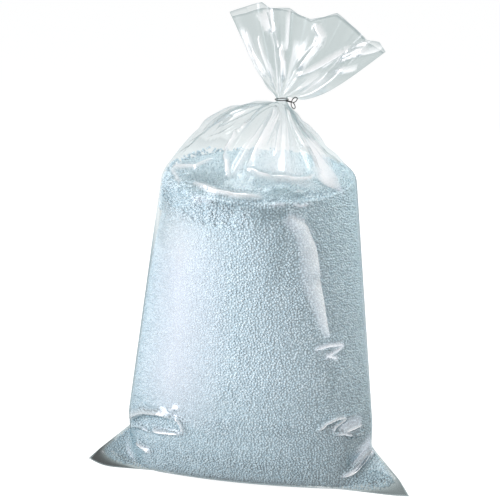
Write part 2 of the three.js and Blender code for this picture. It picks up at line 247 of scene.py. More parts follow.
def points_of(mesh):
    """The mesh's vertices as rows of x, y and z."""
    places = np.empty(3 * len(mesh.vertices))
    mesh.vertices.foreach_get("co", places)
    return places.reshape(-1, 3)


def normals_of(mesh):
    """The mesh's vertex normals as rows of x, y and z."""
    return np.array([vertex.normal for vertex in mesh.vertices])


def mouth_of(mesh):
    """The numbers of the vertices round the mesh's open edge."""
    faces = bmesh.new()
    faces.from_mesh(mesh)
    mouth = [vert.index for vert in faces.verts if vert.is_boundary]
    faces.free()
    return np.array(mouth)


def pixels_of(places):
    """Where points of the model lie in the photograph."""
    off = places - np.array(eye)
    scale = VIEW_DISTANCE / METRES_PER_PIXEL / -(off @ view_back)
    return PHOTO_SIDE / 2 + np.stack([scale * (off @ view_right), -scale * (off @ view_up)], axis=1)


def fan_of(pixels):
    """The angle of pixels round the neck, from straight up to the right, and their distance from it."""
    across, down = (np.array(pixels) - pixels_of(np.array([NECK]))[0]).T
    return np.arctan2(across, -down), np.hypot(across, down)


def reach_at(angles, pixels):
    """How far a line of pixels round the neck lies from it, at each angle."""
    line_angles, distances = fan_of(pixels)
    order = np.argsort(line_angles)
    return np.interp(angles, line_angles[order], distances[order])


skin_places = points_of(film_mesh)
faces_camera = normals_of(film_mesh) @ view_back > 0
mouth = mouth_of(film_mesh)
angles, distances = fan_of(pixels_of(skin_places))
for lip, layer in ((FRONT_LIP, faces_camera), (BACK_LIP, ~faces_camera)):
    edge_now = reach_at(angles, pixels_of(skin_places[mouth[layer[mouth]]]))
    stretch = np.clip(reach_at(angles, lip) / edge_now, *LIP_LIMITS) - 1
    share = np.clip(distances / edge_now, 0, 1) ** 2 * (layer & (skin_places[:, 2] > NECK.z))
    skin_places += (stretch * share)[:, None] * (skin_places - np.array(NECK))
film_mesh.vertices.foreach_set("co", skin_places.ravel())
film_mesh.update()
print("Mouth:", len(mouth), "points")

# %% [markdown]
# Where the film is slack it folds. A fold here is a crest along a line, with a flat flank on each side, one
# steeper than the other. It could be sculpted by hand, but a list of folds is easier to change. The ones
# that the picture shows are placed by its pixels, and a ray from the camera finds the spot on the skin.
# Widths are those of the wide flank at the fold's two ends, and steep is the other flank's share of them.
# White says how much painted highlight, partly the milky whitening of a stretched crest, lies on the crest,
# sharp how closely it keeps to the crest, and dark how much painted shade lies on the steep side. A fold of
# height 0 raises nothing and is only painted highlight or painted shade.

# %% What a fold is
# By default every fold paints some highlight on its crest and some shade on its steep side.
FOLD_DEFAULTS = {"steep": 0.6, "white": 0.3, "dark": 0.15, "sharp": 2.5}
Fold = collections.namedtuple(
    "Fold", ["path", "widths", "height", *FOLD_DEFAULTS], defaults=FOLD_DEFAULTS.values()
)
print("A fold has", Fold._fields)

# %% [markdown]
# Above the tie the film is free. Its pleats run out from the neck as a fan's do, and where they catch the
# light they show as white bands, with painted highlight on them.

# %% Folds of the frill
FRILL_FOLDS = {
    "left band": Fold([(229, 13), (246, 8), (262, 4)], (0.011, 0.010), 0.0020, 1, 0.05, 0, 0.4),
    "inside the left edge": Fold(
        [(246, 30), (251, 50), (266, 76)], (0.003, 0.007), 0.0030, 0.6, 1, 0.3, 0.7
    ),
    "left middle": Fold([(258, 36), (264, 56), (273, 78)], (0.003, 0.005), 0.0030, 0.8, 0.9, 0.3, 0.8),
    "white band": Fold([(265, 10), (269, 26), (280, 52)], (0.015, 0.003), 0.0050, 1, 1, 0, 0.3),
    "white line": Fold([(289, 10), (288, 26), (286, 50)], (0.003, 0.005), 0.0040, 1, 1, 0.3, 0.6),
    "second line": Fold([(280, 46), (283, 60), (284, 80)], (0.005, 0.006), 0.0040, 1, 1, 0.2, 0.6),
    "blob, upper": Fold([(315, 25), (321, 36), (317, 46)], (0.008, 0.009), 0.0050, 0.7, 1, 0.3, 0.5),
    "blob, lower": Fold([(320, 42), (308, 56), (298, 70)], (0.008, 0.006), 0.0060, 0.7, 1, 0.4, 0.5),
    "ridge, upper": Fold(
        [(297, 76), (312, 69), (340, 53), (368, 42)], (0.005, 0.008), 0.0060, 0.6, 1, 0.5, 0.5
    ),
    "ridge, lower": Fold([(322, 68), (345, 57), (366, 48)], (0.004, 0.012), 0.0050, 0.8, 1, 0.4, 0.6),
    "right lobe": Fold([(336, 64), (362, 53), (383, 48)], (0.004, 0.010), 0.0040, 0.5, 0.9, 0.7, 0.6),
    "right streak": Fold([(326, 74), (342, 70), (357, 68)], (0.006, 0.010), 0.0030, 0.8, 0.95, 0.2, 0.6),
    # The folds of height 0 below are painted highlight or painted shade only.
    "lower highlight": Fold([(298, 92), (318, 82), (342, 76)], (0.018, 0.026), 0, 1, 0.75, 0, 1),
    "left edge highlight": Fold([(242, 28), (253, 54), (268, 78)], (0.014, 0.020), 0, 1, 0.6, 0, 0.8),
    "neck shade": Fold([(275, 98), (273, 90), (276, 80)], (0.010, 0.014), 0, 1, 0, 0.45),
    "neck highlight": Fold([(281, 94), (280, 72), (280, 40)], (0.018, 0.050), 0, 1, 0.7, 0, 1),
}
print("Folds of the frill:", len(FRILL_FOLDS))

# %% [markdown]
# Below the tie the film comes down from the neck to the shoulder. Its folds start narrow in the gather and
# open out on the way, some of them in a jagged line.

# %% Folds of the cone
CONE_FOLDS = {
    "under the left edge": Fold([(259, 105), (229, 117), (192, 138), (178, 150)], (0.004, 0.010), 0.0035),
    "second from the left": Fold([(261, 110), (226, 127), (182, 148)], (0.004, 0.010), 0.0040),
    "third from the left": Fold([(240, 124), (223, 133), (175, 157)], (0.004, 0.009), 0.0035),
    "jagged, upper": Fold([(273, 103), (243, 129), (234, 132)], (0.004, 0.008), 0.0065, 0.5, 1, 0.45, 0.8),
    "jagged, middle": Fold([(236, 130), (233, 141), (225, 155)], (0.007, 0.008), 0.0065, 0.5, 1, 0.45, 0.8),
    "jagged, lower": Fold([(226, 152), (226, 163), (228, 178)], (0.007, 0.006), 0.0055, 0.5, 1, 0.45, 0.8),
    "beside the jagged": Fold(
        [(273, 110), (262, 127), (248, 146), (231, 177)], (0.004, 0.014), 0.0045, 0.7, 0.7, 0, 1
    ),
    "wide wedge": Fold(
        [(277, 106), (274, 118), (262, 141), (248, 167)], (0.005, 0.011), 0.0075, 0.6, 1, 0.45, 0.6
    ),
    "short streak": Fold([(279, 122), (277, 138), (275, 157)], (0.005, 0.006), 0.0035, 0.7, 1, 0.2, 0.8),
    "long streak": Fold(
        [(283, 105), (289, 120), (303, 146), (320, 174)], (0.005, 0.009), 0.0065, 0.5, 1, 0.45, 0.7
    ),
    "right of the streak": Fold(
        [(285, 108), (306, 136), (320, 152), (336, 172)], (0.004, 0.016), 0.0050, 0.5, 0.6
    ),
    "far right": Fold([(291, 110), (316, 138), (340, 166)], (0.003, 0.010), 0.0025),
    "arc, left": Fold([(246, 168), (258, 174), (272, 177)], (0.007, 0.008), 0.0050, 0.6, 1, 0.4, 1),
    "arc, right": Fold(
        [(268, 176), (290, 179), (309, 179), (321, 170)], (0.008, 0.008), 0.0055, 0.6, 1, 0.4, 1
    ),
    # The folds of height 0 below are painted highlight or painted shade only.
    "front facet highlight": Fold([(281, 112), (282, 140), (284, 182)], (0.008, 0.056), 0, 1, 0.6, 0, 0.6),
    "left shade": Fold([(182, 148), (208, 140), (240, 138)], (0.016, 0.016), 0, 1, 0, 0.35),
    "left highlight": Fold([(263, 104), (236, 113), (200, 134)], (0.010, 0.022), 0, 1, 0.6, 0, 1),
    "right facet highlight": Fold([(294, 110), (311, 140), (327, 186)], (0.018, 0.032), 0, 1, 1, 0, 0.4),
}
print("Folds of the cone:", len(CONE_FOLDS))

# %% [markdown]
# Over the heap's edge the film is slack and creased. Further down the beads press it smooth, apart from a
# long slack fold at the right with a zigzag below it. At the left it has a wide, soft painted sheen, and
# painted shade lies beside and under several folds.

# %% Folds of the shoulder and the body
SHOULDER_FOLDS = {
    "front fold": Fold(
        [(192, 183), (217, 192), (236, 196), (262, 198)], (0.006, 0.008), 0.0060, 0.5, 1, 0.8, 1
    ),
    "flat wedge": Fold([(172, 168), (196, 167), (214, 158)], (0.009, 0.004), 0.0050, 0.6, 1, 0.5, 1),
    "corner crease": Fold([(167, 161), (172, 168), (180, 183)], (0.005, 0.004), 0.0040, 0.7, 0.8, 0.4, 1),
    # The folds of height 0 here are painted shade only.
    "above the front fold": Fold([(232, 190), (207, 185), (186, 180)], (0.018, 0.018), 0, 1, 0, 0.6),
    "left shoulder": Fold([(157, 246), (160, 212), (165, 181)], (0.030, 0.032), 0, 1, 0, 0.55),
    "left glint": Fold([(270, 206), (278, 204), (286, 205)], (0.005, 0.005), 0.0030, 0.7, 0.6, 0.5),
    "right glint": Fold([(290, 203), (299, 206), (309, 204)], (0.005, 0.006), 0.0035, 0.7, 0.7, 0.5),
    "upper glint": Fold([(294, 193), (299, 191), (305, 193)], (0.004, 0.004), 0.0025, 0.7, 0.5, 0.4),
    "dark hollow": Fold([(264, 192), (282, 189), (304, 196)], (0.014, 0.012), 0.0020, 0.8, 0, 0.7),
    "under the front fold": Fold(
        [(194, 192), (215, 201), (236, 204), (262, 206)], (0.014, 0.014), 0, 1, 0, 0.5
    ),
    "under the glints": Fold([(246, 216), (268, 209), (294, 212)], (0.026, 0.026), 0, 1, 0, 0.6),
}
BODY_FOLDS = {
    # The left sheen is painted highlight, and the folds of height 0 below the slack ones are painted shade.
    "left sheen": Fold([(184, 214), (178, 262), (178, 330), (166, 416)], (0.082, 0.084), 0, 1, 0.6, 0, 0.9),
    "slack, lower": Fold(
        [(329, 337), (325, 321), (322, 301), (316, 270)], (0.009, 0.030), 0.0060, 0.2, 0.58, 0, 0.6
    ),
    "slack, upper": Fold(
        [(319, 278), (314, 247), (305, 225), (288, 213)], (0.032, 0.016), 0.0060, 0.2, 0.58, 0, 0.6
    ),
    "beside the slack": Fold([(287, 206), (285, 240), (276, 290)], (0.026, 0.020), 0, 1, 0, 0.32),
    "under the zigzag": Fold([(339, 364), (336, 388), (332, 412)], (0.022, 0.022), 0, 1, 0, 0.35),
    "zigzag, upper": Fold([(314, 350), (328, 346), (344, 344)], (0.006, 0.005), 0.0040, 0.6, 1, 0.4, 1),
    "zigzag, lower": Fold([(344, 344), (327, 356), (338, 359)], (0.005, 0.005), 0.0035, 0.6, 1, 0.4, 1),
}
print("Folds of the shoulder and the body:", len(SHOULDER_FOLDS) + len(BODY_FOLDS))

# %% [markdown]
# At the ears the flat seal meets the round bag. There the film has width to spare, so it buckles in short,
# deep folds.

# %% Folds of the ears
LEFT_EAR_FOLDS = {
    "knee ridge": Fold(
        [(131, 418), (146, 412), (160, 413), (173, 418)], (0.014, 0.010), 0.0090, 0.6, 0.55, 0.7, 1.5
    ),
    "knee wedge": Fold([(152, 430), (163, 432), (183, 434)], (0.009, 0.004), 0.0070, 0.6, 1, 0.5, 2),
    "knee curl": Fold([(174, 416), (180, 422), (184, 434)], (0.006, 0.005), 0.0060, 0.6, 1, 0.4),
    "knee highlight": Fold([(168, 411), (174, 408), (181, 410)], (0.006, 0.006), 0.0030, 0.8, 0.8, 0, 1.5),
    "knee to ear": Fold([(131, 426), (142, 427), (150, 433)], (0.008, 0.005), 0.0050, 0.6, 0.2, 0.7),
    "ear crease": Fold([(152, 453), (144, 447), (137, 442)], (0.006, 0.005), 0.0060, 1.2, 1, 0.6, 2),
}
RIGHT_EAR_FOLDS = {
    "knee arc": Fold(
        [(317, 432), (326, 423), (337, 418), (347, 417)], (0.007, 0.006), 0.0070, 0.6, 0.9, 0.6
    ),
    "knee hook": Fold(
        [(347, 417), (340, 422), (334, 427), (333, 433)], (0.005, 0.005), 0.0055, 0.6, 0.8, 0.4
    ),
    "knee wedge": Fold([(343, 432), (352, 428), (361, 424)], (0.008, 0.005), 0.0070, 0.6, 1, 0.5, 2),
    "under the wedge": Fold([(335, 434), (343, 434), (353, 436)], (0.006, 0.006), 0.0045, 0.6, 0.8, 0.4),
    "knee to edge": Fold([(354, 436), (364, 433), (374, 430)], (0.005, 0.006), 0.0040, 0.6, 0.2),
    "ear crease, upper": Fold([(372, 447), (363, 455), (343, 476)], (0.007, 0.004), 0.0060, 0.8, 0.5, 0.7),
    "ear crease, lower": Fold(
        [(342, 477), (356, 470), (366, 461), (373, 450)], (0.005, 0.010), 0.0080, 0.5, 1, 0, 0.7
    ),
    # Painted highlight only, with no fold under it.
    "ear highlight": Fold([(350, 463), (361, 453), (371, 438)], (0.014, 0.018), 0, 1, 0.5, 0, 1),
    "knee highlight": Fold([(338, 429), (350, 425), (362, 421)], (0.014, 0.014), 0, 1, 0.45, 0, 1),
    # A low fold with painted shade on its steep side.
    "ear hollow": Fold([(366, 471), (382, 476), (398, 485)], (0.006, 0.004), 0.0020, 0.8, 0, 0.6),
}
print("Folds of the ears:", len(LEFT_EAR_FOLDS) + len(RIGHT_EAR_FOLDS))

# %% [markdown]
# A ray from the camera through each pixel of a fold finds its spot on the skin. Pixels that lie beside the
# bag are left out, and a fold that has only one spot left is dropped before the film is raised.

# %% From the picture to the skin
SEEN_FOLDS = [FRILL_FOLDS, CONE_FOLDS, SHOULDER_FOLDS, BODY_FOLDS, LEFT_EAR_FOLDS, RIGHT_EAR_FOLDS]


def skin_tree(mesh):
    """A search tree of the mesh's faces, for rays."""
    faces = bmesh.new()
    faces.from_mesh(mesh)
    tree = BVHTree.FromBMesh(faces)
    faces.free()
    return tree


skin = skin_tree(film_mesh)


def seen_at(pixel):
    """The spot on the skin that a pixel of the photograph shows, or None beside the bag."""
    return skin.ray_cast(eye, pixel_ray(*pixel))[0]


Crest = collections.namedtuple("Crest", "spots fold")


def crest_along(spots, fold):
    """A crest through the spots that were found on the skin."""
    return Crest([np.array(spot) for spot in spots if spot is not None], fold)


def seen_crest(fold):
    """A crest along the pixels of a fold."""
    return crest_along([seen_at(pixel) for pixel in fold.path], fold)


crests = [seen_crest(fold) for folds in SEEN_FOLDS for fold in folds.values()]
print("Folds placed by the photograph:", len(crests))

# %% [markdown]
# The back and the far sides aren't in the picture, but the film gathers there in the same way. Their folds
# run down the cone from the neck, and a few bent creases lie on the slack film over the beads. They are
# spread by the golden angle, which never lines two of them up, and the same steps vary their size and slope.

# %% Folds out of sight
FAR_CONE_FOLDS = 13
FAR_BODY_FOLDS = 9
GOLDEN_STEP = (math.sqrt(5) - 1) / 2
FAR_MIDDLE = VIEW_AZIMUTH + math.radians(90)
FAR_CONE_ARC = math.radians(190)
FAR_BODY_ARC = math.radians(140)
CONE_TOP = 0.536
CONE_FEET = (0.452, 0.512)
CONE_FOLD_TOP = 0.004
CONE_FOLD_WIDTHS = (0.010, 0.013)
CONE_FOLD_HEIGHTS = (0.004, 0.007)
BODY_HEIGHTS = (0.09, 0.40)
BODY_LENGTHS = (0.035, 0.120)
BODY_SLOPES = (-80, 40)
BODY_FOLD_HEIGHTS = (0.003, 0.006)
BODY_FOLD_SPREAD = (2, 1.5)
BODY_BEND = 0.12
BODY_RADIUS = 0.165
FAR_SPOTS = 5
FAR_STEEP = 0.6
# The far folds' crests carry painted highlight, and their steep sides painted shade by default.
FAR_WHITE = 0.45


def spread(count, low, high):
    """A value between two limits that jumps about evenly from one count to the next."""
    return low + (high - low) * (count * GOLDEN_STEP % 1)


def far_angle(count, arc):
    """An angle round the bag, on the side that the photograph doesn't show."""
    return FAR_MIDDLE + spread(count, -arc / 2, arc / 2)


def found_from(centre, angle):
    """The spot on the skin that is seen from a place inside the bag, looking level at an angle."""
    out = Vector((math.cos(angle), math.sin(angle), 0))
    return skin.ray_cast(centre, out)[0]


def far_cone_fold(count):
    """A fold from the neck down to the shoulder."""
    angle = far_angle(count, FAR_CONE_ARC)
    levels = np.linspace(CONE_TOP, spread(2 * count, *CONE_FEET), FAR_SPOTS)
    spots = [found_from(Vector((NECK.x, 0, level)), angle) for level in levels]
    widths = (CONE_FOLD_TOP, spread(3 * count, *CONE_FOLD_WIDTHS))
    height = spread(5 * count, *CONE_FOLD_HEIGHTS)
    return crest_along(spots, Fold([], widths, height, FAR_STEEP, FAR_WHITE))


def far_body_fold(count):
    """A bent crease on the film over the beads."""
    angle = far_angle(count, FAR_BODY_ARC)
    middle = spread(2 * count, *BODY_HEIGHTS)
    length = spread(4 * count, *BODY_LENGTHS)
    slope = math.radians(spread(3 * count, *BODY_SLOPES))
    spots = []
    for share in np.linspace(-0.5, 0.5, FAR_SPOTS):
        across = share * length * math.cos(slope)
        up = share * length * math.sin(slope) + BODY_BEND * length * (1 - 4 * share**2)
        spots.append(found_from(Vector((0, 0, middle + up)), angle + across / BODY_RADIUS))
    height = spread(5 * count, *BODY_FOLD_HEIGHTS)
    widths = (height * BODY_FOLD_SPREAD[0], height * BODY_FOLD_SPREAD[1])
    return crest_along(spots, Fold([], widths, height, FAR_STEEP, FAR_WHITE))


crests += [far_cone_fold(count) for count in range(FAR_CONE_FOLDS)]
crests += [far_body_fold(count) for count in range(FAR_BODY_FOLDS)]
print("Folds in all:", len(crests))

# %% [markdown]
# Each fold lifts the skin's points along their normals: most on the crest, and less down the flanks. The
# skin's faces are too coarse for a sharp crest, so the ones under a fold are first cut in four. A fold only
# ever lifts the film outward, away from the beads.

# %% Lifting the folds
FOLD_TAPER = 0.2
SHADE_REACH = 1.3
FINE_ABOVE = 0.05
SAME_SIDE = 0.2


def normal_near(spot):
    """The skin's outward normal at a spot on it."""
    return np.array(skin.find_nearest(Vector(spot))[1])


def rise_of(places, normals, crest):
    """How far up a fold's flanks each point lies, 1 on the crest, and how far into its painted shade."""
    rise = np.zeros(len(places))
    under = np.zeros(len(places))
    spots, fold = crest
    lengths = [np.linalg.norm(end - start) for start, end in zip(spots, spots[1:])]
    gone = 0
    for start, end, size in zip(spots, spots[1:], lengths):
        run = (end - start) / size
        toward = normal_near((start + end) / 2)
        share = np.clip((places - start) @ run / size, 0, 1)
        along = (gone + share * size) / sum(lengths)
        width = fold.widths[0] + (fold.widths[1] - fold.widths[0]) * along
        off = places - start - (share * size)[:, None] * run
        apart = np.linalg.norm(off, axis=1) / width
        on_steep = off @ np.cross(run, toward) > 0
        taper = np.clip(np.minimum(along, 1 - along) / FOLD_TAPER, 0, 1)
        here = np.sqrt(taper) * (normals @ toward > SAME_SIDE)
        rise = np.maximum(rise, here * np.clip(1 - apart / np.where(on_steep, fold.steep, 1), 0, 1))
        under = np.maximum(under, here * on_steep * np.clip(1 - apart / SHADE_REACH, 0, 1))
        gone += size
    return rise, under


crests = [crest for crest in crests if len(crest.spots) > 1]
coarse_places = points_of(film_mesh)
coarse_normals = normals_of(film_mesh)
near_fold = np.zeros(len(coarse_places))
for crest in crests:
    if crest.fold.height > 0:
        near_fold = np.maximum(near_fold, rise_of(coarse_places, coarse_normals, crest)[0])

fine = bmesh.new()
fine.from_mesh(film_mesh)
fine.verts.ensure_lookup_table()
close = [edge for edge in fine.edges if all(near_fold[vert.index] > FINE_ABOVE for vert in edge.verts)]
bmesh.ops.subdivide_edges(fine, edges=close, cuts=1, use_grid_fill=True)
film_mesh = mesh_of("film", fine)
film.data = film_mesh

smooth_places = points_of(film_mesh)
smooth_normals = normals_of(film_mesh)
lift = np.zeros(len(smooth_places))
milky_and_highlight = np.zeros(len(smooth_places))
shaded = np.zeros(len(smooth_places))
for crest in crests:
    rise, under = rise_of(smooth_places, smooth_normals, crest)
    lift = np.maximum(lift, crest.fold.height * rise)
    milky_and_highlight = np.maximum(milky_and_highlight, crest.fold.white * rise**crest.fold.sharp)
    shaded = np.maximum(shaded, crest.fold.dark * under)
print("Folds raise the film by up to", round(1000 * lift.max(), 1), "mm")
print("Film:", len(film_mesh.polygons), "faces")

# %% [markdown]
# Close to the tie the film is crowded into many small gathers, which fade out along the cone and the frill.
# They are ripples round the neck: two waves of different counts, so that no two gathers are alike. Below
# the tie a gather's place is its angle round the neck, and above it is the angle within the leaning fan.
# Right beside the wire nothing is raised, or the film would come through it.

# %% Gathers at the neck
GATHER_COUNTS = (23, 37)
GATHER_DEPTH = 0.0011
GATHER_START = 0.010
GATHER_PEAK = 0.030
GATHER_END = 0.120
WIRE_BARE = 0.0012
WIRE_FADE = 0.004


def fold_wave(turns):
    """A zigzag from 0 in its valleys to 1 on its ridges, once for each whole turn."""
    return np.abs(2 * (turns % 1) - 1)


from_neck = smooth_places - np.array(NECK)
round_neck = np.arctan2(from_neck[:, 1], from_neck[:, 0])
in_fan = np.sign(from_neck[:, 1]) + np.arctan2(from_neck[:, 0], from_neck[:, 2])
gather_angle = np.where(from_neck[:, 2] > 0, in_fan, round_neck) / (2 * math.pi)
distance = np.linalg.norm(from_neck, axis=1)
rising = np.clip((distance - GATHER_START) / (GATHER_PEAK - GATHER_START), 0, 1)
fading = np.clip((GATHER_END - distance) / (GATHER_END - GATHER_PEAK), 0, 1)
gathers = sum(fold_wave(count * gather_angle) for count in GATHER_COUNTS)
lift += GATHER_DEPTH * gathers * rising * fading
wire_tree = skin_tree(tie_node.data)
for index in np.flatnonzero(distance < GATHER_END):
    wire_gap = wire_tree.find_nearest(Vector(smooth_places[index]))[3]
    lift[index] *= min(max((wire_gap - WIRE_BARE) / WIRE_FADE, 0), 1)
film_mesh.vertices.foreach_set("co", (smooth_places + lift[:, None] * smooth_normals).ravel())
film_mesh.update()
film_mesh.shade_smooth()
print("Gathered points:", int((rising * fading > 0).sum()))

# %% [markdown]
# The beads lie in one layer under the film and on top of the heap. The frame's bead solid has that shape, so
# a rounded copy of it is their bed. Its triangles are first joined to quads, which round off evenly.

# %% The bed of beads
BED_LEVELS = 2
JOIN_ANGLE = math.radians(60)
CORNER_ANGLE = math.radians(25)
CORNER_CREASE = 0.75

bed = bmesh.new()
bed.from_mesh(fill_node.data)
bmesh.ops.remove_doubles(bed, verts=bed.verts, dist=MERGE_DISTANCE)
bmesh.ops.join_triangles(
    bed, faces=bed.faces, angle_face_threshold=JOIN_ANGLE, angle_shape_threshold=JOIN_ANGLE
)
bed.normal_update()
crease = bed.edges.layers.float.new("crease_edge")
for edge in bed.edges:
    if edge.calc_face_angle() > CORNER_ANGLE:
        edge[crease] = CORNER_CREASE
bed_piece = new_object("bed", mesh_of("bed", bed))
rounding = bed_piece.modifiers.new("rounding", "SUBSURF")
rounding.levels = BED_LEVELS
rounding.render_levels = BED_LEVELS
bed_mesh = applied(bed_piece)
bed_tree = skin_tree(bed_mesh)
bpy.data.objects.remove(bed_piece)
print("Bed:", len(bed_mesh.polygons), "faces")

# %% [markdown]
# Some things about the film change from place to place, so they are kept as attributes of its points, for
# the finish to read. Milky is the whitened crest of a fold with painted highlight on it, and also the painted
# highlights and sheen that the folds list. Shaded is painted shade: in the hollow under a fold, along the
# edge of the mouth and toward the foot, most of all in the ears. Pinched is where the front and the back lie
# on each other, at the seal and the tips of the ears, with painted shade there, less at the right tip.
# Touching is where the film lies on the beads, which dull its gloss with their print. Loose is painted
# shade: a greyer tint on the free film above the beads, most of all on the frill.

# %% What the finish has to know
PINCHED_BELOW = 0.008
EARS_BELOW = 0.115
TOUCH_GAP = 0.002
TOUCH_FADE = 0.005
CONE_LOOSE_SHADE = 0.36
FRILL_FADE = 0.04
LIP_SHADE = 0.8
LOW_SHADE = 0.44
LOW_REACH = 0.19
LEFT_EAR_SHADE = 0.28
RIGHT_EAR_SHADE = 0.18
EAR_INSIDE = 0.14
EAR_FADE = 0.05
RIGHT_TIP_SHADE = 0.5
PROBE = 0.0002


def thickness_at(tree, place, normal):
    """How far the opposite side is, straight in from a point of a skin, or 0 at its very edge."""
    inward = -Vector(normal)
    hit = tree.ray_cast(Vector(place) + PROBE * inward, inward)
    return hit[3] if hit[0] is not None else 0


def add_attribute(mesh, name, values):
    """Keeps one number for each of the mesh's points."""
    layer = mesh.attributes.new(name, "FLOAT", "POINT")
    layer.data.foreach_set("value", np.ascontiguousarray(values, dtype=np.float32))


film_places = points_of(film_mesh)
heights = film_places[:, 2]
bead_gap = np.array([bed_tree.find_nearest(Vector(place))[3] for place in film_places])
thickness = np.full(len(smooth_places), math.inf)
for index in np.flatnonzero(heights < EARS_BELOW):
    thickness[index] = thickness_at(skin, smooth_places[index], smooth_normals[index])
on_right = film_places[:, 0] > 0
# Pinched film is also painted darker as shade, less at the right tip.
pinched_and_shaded = np.clip(1 - thickness / PINCHED_BELOW, 0, 1) * np.where(on_right, RIGHT_TIP_SHADE, 1)
touching = np.clip(1 - (bead_gap - TOUCH_GAP) / TOUCH_FADE, 0, 1) * (1 - pinched_and_shaded)
above_tie = np.clip((heights - NECK.z) / FRILL_FADE, 0, 1)
# Painted shade along the lip, toward the foot and more in the ears.
shaded[mouth_of(film_mesh)] = LIP_SHADE
low = np.clip(1 - heights / LOW_REACH, 0, 1)
in_ear = np.clip((np.abs(film_places[:, 0]) - EAR_INSIDE) / EAR_FADE, 0, 1)
ear_shade = np.where(on_right, RIGHT_EAR_SHADE, LEFT_EAR_SHADE)
shaded = np.maximum(shaded, low * (LOW_SHADE + ear_shade * in_ear))
add_attribute(film_mesh, "milky_and_highlight", milky_and_highlight)
add_attribute(film_mesh, "shaded", shaded)
add_attribute(film_mesh, "pinched_and_shaded", pinched_and_shaded)
add_attribute(film_mesh, "touching", touching)
# The loose film gets a greyer tint, which is painted shade.
add_attribute(film_mesh, "loose_shade", CONE_LOOSE_SHADE * (1 - touching) + (1 - CONE_LOOSE_SHADE) * above_tie)
print("Pinched points:", int((pinched_and_shaded > 0).sum()))

# %% [markdown]
# Maths in a shader is easier to read as an expression. This small class wraps a node's output, so that
# adding or multiplying two of them adds a Math node, and its one method makes any other node.

# %% Shader helper


class Term:
    """An output of a node tree. Arithmetic on it adds Math nodes, and node() adds any other node."""

    def __init__(self, tree, output=None):
        self.tree = tree
        self.output = output

    def node(self, kind, settings=None, inputs=None, output=0):
        """Adds a node, sets its settings, then gives its sockets values or links."""
        made = self.tree.nodes.new(kind)
        for name, value in (settings or {}).items():
            setattr(made, name, value)
        for name, value in (inputs or {}).items():
            if isinstance(value, Term):
                self.tree.links.new(value.output, made.inputs[name])
            else:
                made.inputs[name].default_value = value
        return Term(self.tree, made.outputs[output] if len(made.outputs) else None)

    def other(self, output):
        """Another output of the same node."""
        return Term(self.tree, self.output.node.outputs[output])

    def math(self, operation, first, second):
        """Adds a Math node."""
        return self.node("ShaderNodeMath", {"operation": operation}, {0: first, 1: second})

    def __add__(self, value):
        return self.math("ADD", self, value)

    __radd__ = __add__

    def __sub__(self, value):
        return self.math("SUBTRACT", self, value)

    def __rsub__(self, value):
        return self.math("SUBTRACT", value, self)

    def __mul__(self, value):
        return self.math("MULTIPLY", self, value)

    __rmul__ = __mul__

    def __pow__(self, value):
        return self.math("POWER", self, value)


def new_finish(name):
    """An empty material and a Term to add its nodes by."""
    material = bpy.data.materials.new(name)
    material.use_nodes = True
    material.node_tree.nodes.clear()
    return material, Term(material.node_tree)


# %% [markdown]
# Clear film could be glass, but a skin without thickness has nothing to bend light in. It is made of three
# layers instead: a tint that light passes straight through, with painted shade that deepens it at a slant,
# on loose film and where it is shaded or pinched; a little milkiness on the folds with painted highlight,
# and a painted cool sheen where the film lies on beads; and a gloss on top that grows toward the edges. A
# gloss by the Fresnel node would turn to a mirror on the film's inner side, so it is worked out from how far
# the film slants from the eye.

# %% The film's finish
CLEAR_TINT = (0.95, 0.965, 0.965, 1)
# Every tint but the clear one is painted shade: for loose film, a slant, shaded and pinched film.
LOOSE_SHADE_TINT = (0.74, 0.785, 0.785, 1)
SLANT_SHADE_TINT = (0.32, 0.42, 0.46, 1)
SHADED_TINT = (0.45, 0.52, 0.53, 1)
PINCHED_SHADE_TINT = (0.06, 0.09, 0.09, 1)
# The milk is the whitening of creases with painted highlight, and its cooler tint a painted sheen.
MILK_AND_HIGHLIGHT = (0.97, 0.975, 0.99, 1)
COOL_SHEEN = (0.87, 0.91, 1, 1)
GLOSS = (1, 1, 1, 1)
MILK_ROUGHNESS = 0.27
HEAD_ON_GLOSS = 0.07
SLANT_GLOSS = 0.04
FREE_SLANT = 0.15
FREE_ROUGHNESS = 0.12
TOUCHING_ROUGHNESS = 0.24
HAZE = 0.02
MILK_AND_HIGHLIGHT_SHARE = 0.85
TINT_POWER = 3
GLOSS_POWER = 4
CRINKLE_SCALE = 30.0
CRINKLE_DETAIL = 2.0
PRESSED_FLAT = 0.8
PRINT_SCALE = 270.0
PRINT_SHARE = 0.06
BUMP_STRENGTH = 0.25
BUMP_HEIGHT = 0.004


